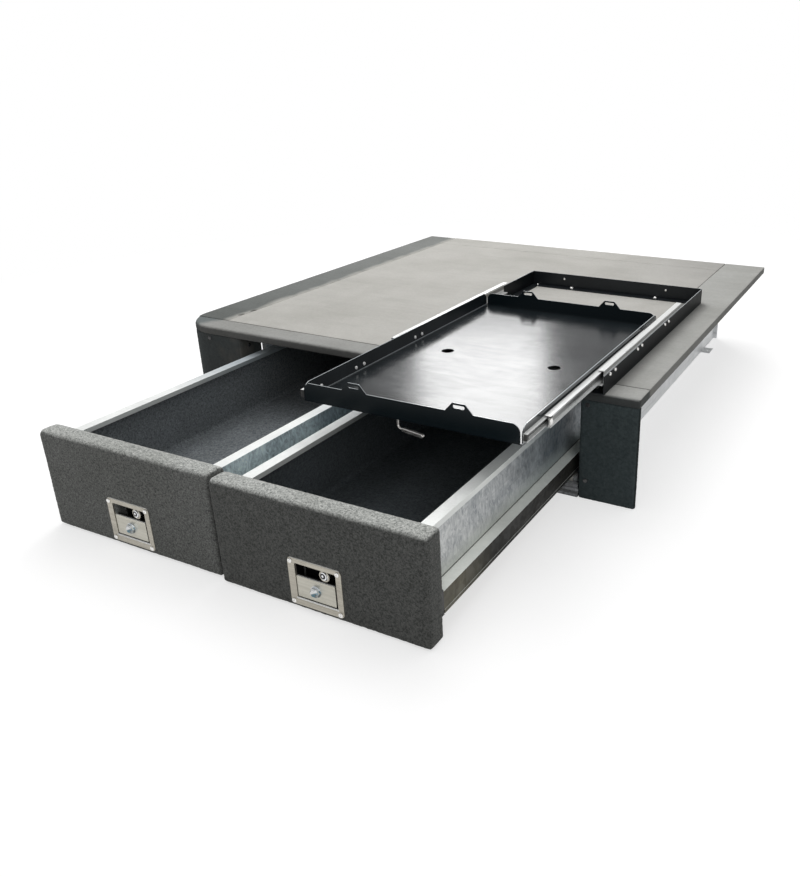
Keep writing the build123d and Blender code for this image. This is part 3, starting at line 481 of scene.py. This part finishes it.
# The left lining's carpet is about twice as light as the right one's, as painted light against the shade inside
# the left drawer.
liner_carpets = {
    "left": carpet("left_liner_carpet", (0.08, 0.09, 0.10), (0.24, 0.26, 0.27), (0.03, 0.033, 0.037),
                   tuft_size=8, contrast=0.3, fibre_size=4.0, fibre_share=0.5, recolour=left_liner_tone),
    "right": carpet("right_liner_carpet", (0.045, 0.055, 0.062), (0.125, 0.14, 0.15), (0.02, 0.022, 0.025),
                    tuft_size=8, fibre_size=4.0, fibre_share=0.5)}
# Each metal's top colour below is a painted highlight on its faces that look up.
galvanised = sheet_metal("galvanised", (0.34, 0.365, 0.38), (0.70, 0.73, 0.74), top=(0.80, 0.82, 0.82),
                         metallic=0.6, crystals=0.12)
drawer_steel = sheet_metal("drawer_steel", (0.24, 0.26, 0.28), (0.70, 0.71, 0.70), top=(0.97, 0.99, 0.97),
                           metallic=0.4, crystals=0.04, spangle=90, recolour=wall_tone, finish=far_shade,
                           spread=(0.39, 0.60), curl=(60.0, 60.0, 27.0), warp=2.4)
dark_steel = sheet_metal("dark_steel", (0.07, 0.073, 0.078), (0.30, 0.31, 0.32), top=(0.42, 0.44, 0.45),
                         metallic=0.5, crystals=0.05, spread=(0.38, 0.62))
# A paler copy of galvanised steel, as painted light on the side frames and wing brackets in the shade under the
# wings.
painted_light_steel = sheet_metal("painted_light_steel", (0.70, 0.72, 0.73), (0.88, 0.89, 0.90), top=(0.86, 0.88, 0.88),
                         metallic=0.35, crystals=0.08)
runner_steel = sheet_metal("runner_steel", (0.07, 0.065, 0.05), (0.17, 0.16, 0.12), top=(0.97, 1.0, 0.95),
                           metallic=0.1, crystals=0.05, rough=(0.5, 0.7), spangle=80, shine=0.2,
                           recolour=runner_tone)
zinc = brushed("zinc", (0.44, 0.45, 0.45), (0.72, 0.73, 0.72), drawn=DRAWN_Y, metallic=0.7,
               top=(0.88, 0.89, 0.88))
slide_zinc = brushed("slide_zinc", (0.50, 0.51, 0.51), (0.80, 0.81, 0.80), drawn=DRAWN_Y, metallic=0.65,
                     top=(0.92, 0.93, 0.92), finish=groove_tone)
cage_steel = brushed("cage_steel", (0.30, 0.29, 0.27), (0.55, 0.54, 0.51), drawn=DRAWN_Y)
lever_steel = brushed("lever_steel", (0.62, 0.60, 0.57), (0.90, 0.88, 0.85), drawn=(8.0, 300.0, 300.0))
# Near-white, hardly metallic steel for the plate lips: a painted highlight.
lip_highlight = brushed("lip_highlight", (0.90, 0.90, 0.88), (1.0, 1.0, 0.99), drawn=(20.0, 300.0, 300.0),
                    metallic=0.1)
bolt_steel = brushed("bolt_steel", (0.78, 0.77, 0.75), (0.96, 0.95, 0.93), rough=(0.15, 0.3))
tray_bolt_steel = brushed("tray_bolt_steel", (0.86, 0.86, 0.85), (1.0, 1.0, 0.99), metallic=0.2)
screw_steel = brushed("screw_steel", (0.035, 0.035, 0.037), (0.10, 0.10, 0.10), rough=(0.2, 0.4))
frame_black = coated("frame_black", (0.008, 0.010, 0.012), (0.016, 0.019, 0.022), shine=0.3, rim=0.335)
nylon = coated("nylon", (0.55, 0.54, 0.50), (0.68, 0.67, 0.63), rough=(0.4, 0.55), grain=300)
cap_plastic = coated("cap_plastic", (0.02, 0.02, 0.02), (0.045, 0.045, 0.043), rough=(0.45, 0.6), grain=400)


def plywood():
    s = Surface("plywood", roughness=0.7)
    grain = s.noise(14, 6, 0.65, where=s.stretched(1.0, 0.08, 1.0), warp=1.2)
    s.colour(s.ramp(grain, (0.3, (0.33, 0.22, 0.12)), (0.7, (0.55, 0.40, 0.25))))
    return s.bump(grain, 0.0003, 0.5)


def latch_steel(name, face, dark, light):
    """Satin stainless in front of the fascia's face, with a painted highlight where it looks up, and black
    painted shade behind.
    """
    bright, black, metallic = (0.92, 0.92, 0.90), (0.006, 0.006, 0.006), 0.8
    s = brushed(name, dark, light, rough=(0.28, 0.42), drawn=DRAWN_X, metallic=metallic)
    # Painted shade: black behind the fascia's face, in the latch's mouth.
    inside = s.at("Y", face + 0.0022, face + 0.0032)
    # Painted highlight on the faces that look up.
    lip = s.upward(*TOP_FACE)
    s.colour(s.mix(inside, s.mix(lip, s.base(), bright), black))
    s.drive("Metallic", s.math("MAXIMUM", inside, s.both(lip, 0.7)), metallic, 0.0)
    return s


def lock_chrome(name, node):
    """Chrome with two dark rings, one around its plug and one inside its collar's rim."""
    dark, bright = (0.05, 0.05, 0.055), (0.85, 0.86, 0.87)
    s = brushed(name, (0.70, 0.73, 0.76), (0.90, 0.92, 0.94), **CHROME)
    low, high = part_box(node)
    middle, radius = (low + high) / 2, (high.x - low.x) / 2
    across, height = s.off("X", middle.x), s.off("Z", middle.z)
    away = s.math("SQRT", s.math("ADD", s.both(across, across), s.both(height, height)))
    rings = ((0.0, bright), (0.20, bright), (0.26, dark), (0.52, dark), (0.58, bright), (0.74, bright),
             (0.80, dark), (0.90, dark), (0.95, bright))
    return s.colour(s.ramp(s.math("DIVIDE", away, radius), *rings))


def knob_chrome(name, node):
    """Chrome whose face is white above and teal below with a dark corner, as it mirrors a room."""
    teal, silver, white = (0.10, 0.22, 0.28), (0.45, 0.50, 0.52), (0.95, 0.96, 0.96)
    dark_corner, face_metallic = (0.16, 0.17, 0.16), 0.3
    s = brushed(name, (0.62, 0.68, 0.74), (0.82, 0.87, 0.92), **CHROME)
    low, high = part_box(node)
    middle = (low + high) / 2
    across, height = s.off("X", middle.x), s.off("Z", middle.z)
    slope = s.math("SUBTRACT", height, s.both(across, 0.5))
    face = s.ramp(s.span(slope, -0.010, 0.010), (0.45, teal), (0.52, silver), (0.58, white))
    corner = s.both(s.span(across, 0.003, 0.005), s.span(height, 0.001, -0.001))
    face = s.mix(corner, face, dark_corner)
    front = s.facing("Y", -0.5, -0.8)
    s.drive("Metallic", front, 1.0, face_metallic)
    return s.colour(s.mix(front, s.base(), face))


def tray_coat(name, floor):
    """Gloss black coat with faint smears, a painted highlight on its upper edges, and a painted highlight
    of half strength along the sides at the height of the tray's floor. Its front is duller."""
    shine, front_shine, painted_highlight = 0.75, 0.2, (0.52, 0.56, 0.58)
    black, worn_black, front_black = (0.006, 0.009, 0.011), (0.015, 0.020, 0.023), (0.006, 0.011, 0.014)
    s = Surface(name, specular_ior_level=shine)
    peel = s.noise(700, 2, 0.5)
    drift = s.noise(6, 5, 0.65, warp=0.8)
    scuff = s.noise(1.0, 4, 0.6, where=s.stretched(8.0, 40.0, 8.0), warp=0.6)
    base = s.ramp(drift, (0.3, black), (0.7, worn_black))
    # Painted highlight on the upper edges.
    edge = s.both(s.upward(*RIM_FACE), s.at("Z", floor + 0.020, floor + 0.024))
    front = s.facing("Y", -0.5, -0.85)
    # Painted highlight of half strength where the walls meet the floor.
    seam = s.both(s.unless(s.upward()), s.unless(front), s.at("Z", floor - 0.0030, floor - 0.0024),
                  s.at("Z", floor + 0.0030, floor + 0.0022), 0.5)
    s.drive("Specular IOR Level", front, shine, front_shine)
    base = s.mix(front, base, front_black)
    base = s.mix(seam, base, painted_highlight)
    s.colour(s.mix(edge, base, painted_highlight))
    smear = s.weighted((drift, 0.6), (scuff, 0.4))
    s.wire(s.span(smear, 0.35, 0.65, 0.15, 0.24), s.shader.inputs["Roughness"])
    return s.bump(peel, 0.00005, 0.5)


# Pieces

def link(obj):
    scene.collection.objects.link(obj)
    return obj


def dress(obj, surface):
    obj.data.materials.clear()
    obj.data.materials.append(surface.material)
    return obj


def settled(obj):
    """Bakes the object's modifiers into its mesh."""
    seen = obj.evaluated_get(bpy.context.evaluated_depsgraph_get())
    mesh = bpy.data.meshes.new_from_object(seen)
    obj.modifiers.clear()
    obj.data = mesh
    return obj


def with_normals(mesh):
    """The mesh's vertices, each with its normal as it is before any of them moves."""
    return [(vertex, vertex.normal.copy()) for vertex in mesh.vertices]


def ruffle(mesh, fuzz, size, wave, wave_size=0.1):
    """Moves each vertex along its normal by fine and broad noise."""
    for vertex, normal in with_normals(mesh):
        fine = noise.noise(vertex.co / size) * fuzz
        broad = noise.noise(vertex.co / wave_size) * wave
        vertex.co += normal * (fine + broad)
    mesh.update()


def wrapped(node, name, body, surface, voxel, fuzz, wave, smooth=6, swell=None):
    """Carpet wrapped over a board: the CAD board's form, remeshed fine, softened and roughened. The swell
    gives how far its thickness stands proud at a place with a normal, but never below the floor."""
    above_floor = 0.001
    mesh = frame["nodes"][node].data.copy()
    piece = link(bpy.data.objects.new(name, mesh))
    remesh = piece.modifiers.new("remesh", "REMESH")
    remesh.mode = "VOXEL"
    remesh.voxel_size = voxel
    soft = piece.modifiers.new("soft", "SMOOTH")
    soft.factor = 0.5
    soft.iterations = smooth
    settled(piece)
    if swell:
        for vertex, normal in with_normals(piece.data):
            vertex.co += swell(vertex.co, normal)
            vertex.co.z = max(vertex.co.z, cad_box[0].z + above_floor)
        piece.data.update()
    ruffle(piece.data, fuzz, voxel * 1.3, wave)
    piece.data.shade_smooth()
    dress(piece, surface)
    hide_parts(node)
    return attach(piece, body)


def lines(low, high, radius, step):
    """Grid positions from low to high, closer together inside the rounded ends."""
    shares = (0.0, 0.4, 0.75)
    count = max(2, round((high - low - 2 * radius) / step))
    middle = [low + radius + (high - low - 2 * radius) * i / count for i in range(count + 1)]
    return [low + radius * s for s in shares] + middle + [high - radius * s for s in reversed(shares)]


def rounded(low, high, radius, step, open_top=False):
    """Mesh of a box with rounded edges on an even grid. An open top keeps its upper rim square."""
    weld = 1e-6
    mesh = bmesh.new()
    spans = [lines(low[i], high[i], radius, step) for i in range(3)]
    sides = [(a, b, fixed, end[fixed])
             for a, b, fixed in ((0, 1, 2), (0, 2, 1), (1, 2, 0)) for end in (low, high)]
    for a, b, fixed, value in sides:
        if open_top and fixed == 2 and value == high[2]:
            continue
        rows = []
        for u in spans[a]:
            row = []
            for v in spans[b]:
                point = [0.0, 0.0, 0.0]
                point[a], point[b], point[fixed] = u, v, value
                row.append(mesh.verts.new(point))
            rows.append(row)
        for i in range(len(rows) - 1):
            for j in range(len(rows[0]) - 1):
                mesh.faces.new((rows[i][j], rows[i + 1][j], rows[i + 1][j + 1], rows[i][j + 1]))
    bmesh.ops.remove_doubles(mesh, verts=mesh.verts, dist=weld)
    bmesh.ops.recalc_face_normals(mesh, faces=mesh.faces)
    for vertex in mesh.verts:
        core = [min(max(vertex.co[i], low[i] + radius), high[i] - radius) for i in range(3)]
        if open_top:
            core[2] = max(vertex.co.z, low[2] + radius)
        away = vertex.co - Vector(core)
        if away.length > 0:
            vertex.co = Vector(core) + away.normalized() * radius
    made = bpy.data.meshes.new("rounded")
    mesh.to_mesh(made)
    mesh.free()
    return made


def board(node, name, surface, radius, step):
    """Carpeted board on an even grid in the CAD board's place."""
    fuzz, wave, wave_size = 0.0004, 0.0004, 0.3
    low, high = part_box(node)
    mesh = rounded(low, high, radius, step)
    piece = link(bpy.data.objects.new(name, mesh))
    ruffle(mesh, fuzz, step * 0.8, wave, wave_size)
    mesh.shade_smooth()
    dress(piece, surface)
    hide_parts(node)
    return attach(piece, "housing")


def lining(node, name, body, surface):
    """Carpet pressed into a drawer, one soft sheet over its floor and walls."""
    thickness, radius, step = 0.005, 0.012, 0.012
    low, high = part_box(node)
    inner_low = low + Vector((thickness,) * 3)
    inner_high = Vector((high.x - thickness, high.y - thickness, high.z))
    mesh = rounded(inner_low, inner_high, radius, step, open_top=True)
    piece = link(bpy.data.objects.new(name, mesh))
    ruffle(mesh, fuzz=0.0006, size=0.009, wave=0.0008, wave_size=0.12)
    mesh.shade_smooth()
    thick = piece.modifiers.new("thick", "SOLIDIFY")
    thick.thickness = thickness * 0.9
    thick.offset = 1.0
    settled(piece)
    dress(piece, surface)
    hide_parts(node)
    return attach(piece, body)


def edged(node, surface, width):
    """Gives a CAD node its material and a small worn radius on its sheet edges."""
    reach, sharp_degrees = 0.00001, 40
    obj = dress(frame["nodes"][node], surface)
    weld = obj.modifiers.new("weld", "WELD")
    weld.merge_threshold = reach
    bevel = obj.modifiers.new("bevel", "BEVEL")
    bevel.width = width
    bevel.segments = 2
    bevel.limit_method = "ANGLE"
    bevel.angle_limit = math.radians(sharp_degrees)
    normals = obj.modifiers.new("normals", "WEIGHTED_NORMAL")
    normals.keep_sharp = True


def fascia_swell(place, normal):
    """A fascia's carpet is thick on its outer end and at its back, above the sill."""
    end_from, end_growth, rim_growth = 0.3, 0.005, 0.001
    sill, slope, back_growth, front_growth = 0.050, 0.020, 0.008, 0.0003
    out = end_growth if abs(place.x) > end_from else 0.0
    back = back_growth * min(1.0, max(0.0, (place.z - sill) / slope)) if normal.y > 0.0 else front_growth
    return Vector((normal.x * out, normal.y * back, normal.z * rim_growth))


def plate_lip(side, drawer):
    """Thin rounded bar on the latch plate, just below the paddle, near white as a painted highlight."""
    wider, proud, sunk, bottom, top = 0.001, 0.0016, 0.0010, 0.0050, 0.0018
    flap_low, flap_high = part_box(f"{side}_paddle")
    plate_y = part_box(f"{side}_latch_plate")[0].y
    mesh = rounded(Vector((flap_low.x - wider, plate_y - proud, flap_low.z - bottom)),
                   Vector((flap_high.x + wider, plate_y + sunk, flap_low.z - top)), radius=0.0010, step=0.010)
    mesh.shade_smooth()
    lip = dress(link(bpy.data.objects.new(f"{side}_plate_lip", mesh)), lip_highlight)
    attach(lip, drawer)


floor_ply = plywood()
for side in ("left", "right"):
    drawer = f"{side}_drawer"
    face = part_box(f"{side}_fascia")[0].y
    plate_steel = latch_steel(f"{side}_latch_steel", face, (0.38, 0.355, 0.30), (0.56, 0.53, 0.46))
    paddle_steel = latch_steel(f"{side}_paddle_steel", face, (0.48, 0.465, 0.40), (0.62, 0.60, 0.53))
    wrapped(f"{side}_fascia", f"{side}_fascia_carpet", drawer, fascia_carpets[side], voxel=0.0035,
            fuzz=0.0007, wave=0.0005, smooth=4, swell=fascia_swell)
    lining(f"{side}_liner", f"{side}_drawer_lining", drawer, liner_carpets[side])
    plate_lip(side, drawer)
    # Node, surface and the radius of its edges
    for node, surface, width in (
            ("latch_plate", plate_steel, 0.0005),
            ("paddle", paddle_steel, 0.0005),
            ("paddle_knob", knob_chrome(f"{side}_knob_chrome", f"{side}_paddle_knob"), 0.0004),
            ("lock_barrel", lock_chrome(f"{side}_lock_chrome", f"{side}_lock_barrel"), 0.0002),
            ("latch_screws", bolt_steel, 0.0002),
            ("latch_tongue", zinc, 0.0004),
            ("end_walls", drawer_steel, 0.0004),
            ("drawer_sides", drawer_steel, 0.0004),
            ("runners", runner_steel, 0.0004),
            ("rear_axles", zinc, 0.0004),
            ("runner_caps", cap_plastic, 0.0008),
            ("floor", floor_ply, 0.0005),
            ("side_frame", painted_light_steel, 0.0004)):
        edged(f"{side}_{node}", surface, width)
    for node in ("front_rollers", "rear_rollers"):
        dress(frame["nodes"][f"{side}_{node}"], nylon)
    wrapped(f"{side}_infill_panel", f"{side}_infill_carpet", "housing", infill_carpet, voxel=0.004,
            fuzz=0.0006, wave=0.0005)

board("deck_board", "deck_carpet", deck_carpet, radius=0.0025, step=0.012)
board("rear_board", "rear_carpet", deck_carpet, radius=0.0025, step=0.012)
board("right_wing_board", "right_wing_carpet", right_strip_carpet, radius=0.0030, step=0.010)
wrapped("left_wing_board", "left_wing_carpet", "housing", left_strip_carpet, voxel=0.003, fuzz=0.0004,
        wave=0.0003, smooth=1)
wrapped("nose_board", "nose_carpet", "housing", nose_carpet, voxel=0.0035, fuzz=0.0005, wave=0.0005, smooth=3)
tray_sheet = 0.002
tray_black = tray_coat("tray_coat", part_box("fridge_tray")[0].z + tray_sheet)
# Nodes, their surface and the radius of their edges
for nodes, surface, width in (
        (("base_sill",), dark_steel, 0.0004),
        (("cross_members", "drawer_rails", "centre_divider", "rear_panel", "front_axles"), galvanised, 0.0004),
        (("wing_brackets",), painted_light_steel, 0.0004),
        (("fixed_slides", "middle_slides", "inner_slides"), slide_zinc, 0.0003),
        (("latch_keepers",), zinc, 0.0003),
        (("outer_ball_cages", "inner_ball_cages"), cage_steel, 0.0001),
        (("release_lever",), lever_steel, 0.0006),
        (("fridge_frame",), frame_black, 0.0005),
        (("fridge_tray",), tray_black, 0.0005),
        (("frame_bolts",), bolt_steel, 0.0001),
        (("tray_bolts",), tray_bolt_steel, 0.0001),
        (("panel_screws",), screw_steel, 0.0001)):
    for node in nodes:
        edged(node, surface, width)


# Small parts of the slides

def loft(name, body, surface, outline, y):
    """Bar with the given XZ outline, run along Y, with softened edges."""
    softened = 0.0004
    mesh = bmesh.new()
    ends = [[mesh.verts.new((x, at, z)) for x, z in outline] for at in y]
    count = len(outline)
    mesh.faces.new(ends[0])
    mesh.faces.new(list(reversed(ends[1])))
    for i in range(count):
        mesh.faces.new((ends[0][i], ends[1][i], ends[1][(i + 1) % count], ends[0][(i + 1) % count]))
    bmesh.ops.recalc_face_normals(mesh, faces=mesh.faces)
    bmesh.ops.bevel(mesh, geom=mesh.edges[:], offset=softened, segments=2, affect="EDGES")
    made = bpy.data.meshes.new(name)
    mesh.to_mesh(made)
    mesh.free()
    piece = link(bpy.data.objects.new(name, made))
    dress(piece, surface)
    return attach(piece, body)


inner_low, inner_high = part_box("inner_slides")
middle_low, middle_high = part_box("middle_slides")
centre = (inner_low.x + inner_high.x) / 2
level = (inner_low.z + inner_high.z) / 2
fold = 0.010
web = (inner_high.x - centre) - fold
rim = middle_high.x - centre
tall = (inner_high.z - inner_low.z) / 2
# Outlines of the right side's parts: X from the slide's web or rim, Z from the slides' middle
STOP = ((0.0016, -0.0068), (0.0075, -0.0068), (0.0088, -0.0030), (0.0088, 0.0030), (0.0075, 0.0068),
        (0.0016, 0.0068))
COVER = ((-0.0004, -tall), (0.0100, -tall), (0.0100, tall), (-0.0004, tall))
BUMPER = ((-0.0046, -0.0090), (-0.0008, -0.0090), (-0.0004, -0.0020), (-0.0026, 0.0030), (-0.0004, 0.0075),
          (-0.0046, 0.0090))
for side, s in (("left", -1), ("right", 1)):
    stop, cover, bumper = (
        [(centre + s * (start + a), level + b) for a, b in points]
        for start, points in ((web, STOP), (web, COVER), (rim, BUMPER)))
    loft(f"{side}_inner_stop", "fridge_tray", cap_plastic, stop, (inner_low.y + 0.0006, inner_low.y + 0.0085))
    if side == "left":
        loft(f"{side}_inner_cover", "fridge_tray", cap_plastic, cover,
             (inner_low.y - 0.0014, inner_low.y + 0.0002))
    loft(f"{side}_middle_bumper", "slide_middle", bolt_steel, bumper,
         (middle_low.y + 0.0008, middle_low.y + 0.0150))


# Floor, backdrop light, lamps and camera

def wired(tree, kind, *inputs, **settings):
    """Adds a node and feeds its inputs in order; a number is set and an output is linked."""
    node = tree.nodes.new("ShaderNode" + kind)
    for word, value in settings.items():
        setattr(node, word, value)
    for socket, value in zip(node.inputs, inputs):
        if isinstance(value, bpy.types.NodeSocket):
            tree.links.new(value, socket)
        else:
            socket.default_value = value
    return node


def grey(tone):
    return (tone, tone, tone, 1)


def floor():
    """Pale paper that keeps the object's shadow and fades into the white backdrop."""
    half, below = 30.0, 0.0002
    fade_from, fade_to, near_share = 1.9, 3.0, 0.62
    bounced, seen_directly = grey(0.62), grey(1.3)
    mesh = bpy.data.meshes.new("floor")
    corners = [(-half, -half, 0), (half, -half, 0), (half, half, 0), (-half, half, 0)]
    mesh.from_pydata(corners, [], [(0, 1, 2, 3)])
    piece = link(bpy.data.objects.new("floor", mesh))
    piece.location.z = cad_box[0].z - below
    material = bpy.data.materials.new("paper")
    material.use_nodes = True
    tree = material.node_tree
    tree.nodes.clear()
    path = wired(tree, "LightPath").outputs
    seen = wired(tree, "Math", path["Is Camera Ray"], path["Is Glossy Ray"], operation="MAXIMUM")
    seen = wired(tree, "Math", seen.outputs[0], path["Is Transmission Ray"], operation="MAXIMUM")
    place = wired(tree, "TexCoord")
    away = wired(tree, "VectorMath", place.outputs["Object"], operation="LENGTH")
    fade = wired(tree, "MapRange", away.outputs["Value"], fade_from, fade_to, near_share, 1.0)
    share = wired(tree, "Math", seen.outputs[0], fade.outputs["Result"], operation="MULTIPLY")
    pale = wired(tree, "Mix", seen.outputs[0], data_type="RGBA")
    pale.inputs[MIX_A].default_value = bounced
    pale.inputs[MIX_B].default_value = seen_directly
    matt = wired(tree, "BsdfDiffuse", pale.outputs[MIX_OUT])
    glow = wired(tree, "Emission", grey(1), 1.0)
    mixed = wired(tree, "MixShader", share.outputs[0], matt.outputs[0], glow.outputs[0])
    wired(tree, "OutputMaterial", mixed.outputs[0])
    mesh.materials.append(material)


def world():
    """White backdrop, and above it a soft studio that is a little brighter overhead."""
    side_light, overhead_light, overhead = 0.30, 0.55, 0.9
    white_below, none_above = 0.10, 0.26
    made = bpy.data.worlds.new("studio")
    scene.world = made
    made.use_nodes = True
    tree = made.node_tree
    tree.nodes.clear()
    path = wired(tree, "LightPath").outputs
    where = wired(tree, "TexCoord")
    height = wired(tree, "SeparateXYZ", where.outputs["Generated"]).outputs["Z"]
    lift = wired(tree, "MapRange", height, 0.0, overhead, side_light, overhead_light)
    light = wired(tree, "Background", grey(1), lift.outputs["Result"])
    white = wired(tree, "Background", grey(1), 1.0)
    low = wired(tree, "MapRange", height, white_below, none_above, 1.0, 0.0)
    shiny = wired(tree, "Math", path["Is Glossy Ray"], path["Is Transmission Ray"], operation="MAXIMUM")
    near = wired(tree, "Math", shiny.outputs[0], low.outputs["Result"], operation="MULTIPLY")
    share = wired(tree, "Math", path["Is Camera Ray"], near.outputs[0], operation="MAXIMUM")
    mixed = wired(tree, "MixShader", share.outputs[0], light.outputs[0], white.outputs[0])
    wired(tree, "OutputWorld", mixed.outputs[0])


def lamp(name, place, aim, size, energy):
    data = bpy.data.lights.new(name, "AREA")
    data.shape = "RECTANGLE"
    data.size, data.size_y = size
    data.energy = energy
    obj = link(bpy.data.objects.new(name, data))
    obj.location = place
    obj.rotation_euler = (Vector(aim) - Vector(place)).to_track_quat("-Z", "Y").to_euler()
    obj.visible_camera = False


def photo_camera():
    """Camera at the photograph's place. Its focal length and optical centre are in the photo's pixels."""
    focal, centre_x, centre_y = 833.1, 502.4, 413.3
    width, height, sensor = 800.0, 877.0, 36.0
    place = (1.2365, -2.511, 1.0345)
    data = bpy.data.cameras.new("camera")
    data.sensor_width = sensor
    data.lens = focal * sensor / height
    data.shift_x = (width / 2 - centre_x) / height
    data.shift_y = (centre_y - height / 2) / height
    camera = link(bpy.data.objects.new("camera", data))
    turn = Matrix.Identity(4)
    for degrees, axis in ((27.1, "Z"), (-23.0, "X"), (0.5, "Y"), (90.0, "X")):
        turn = turn @ Matrix.Rotation(math.radians(degrees), 4, axis)
    camera.matrix_world = Matrix.Translation(place) @ turn
    scene.camera = camera


floor()
world()
lamp("window", place=(-1.9, 3.25, 2.6), aim=(0.3, -0.8, 0.33), size=(1.1, 1.8), energy=34)
lamp("skylight", place=(-1.6, 1.6, 4.3), aim=(0.0, -0.3, 0.2), size=(3.4, 3.4), energy=82)
lamp("overhead", place=(0.2, -0.3, 4.2), aim=(0.0, -0.3, 0.0), size=(3.4, 3.4), energy=45)
lamp("fill", place=(3.6, -3.4, 2.4), aim=(0.0, -0.8, 0.2), size=(2.6, 2.6), energy=22)
photo_camera()
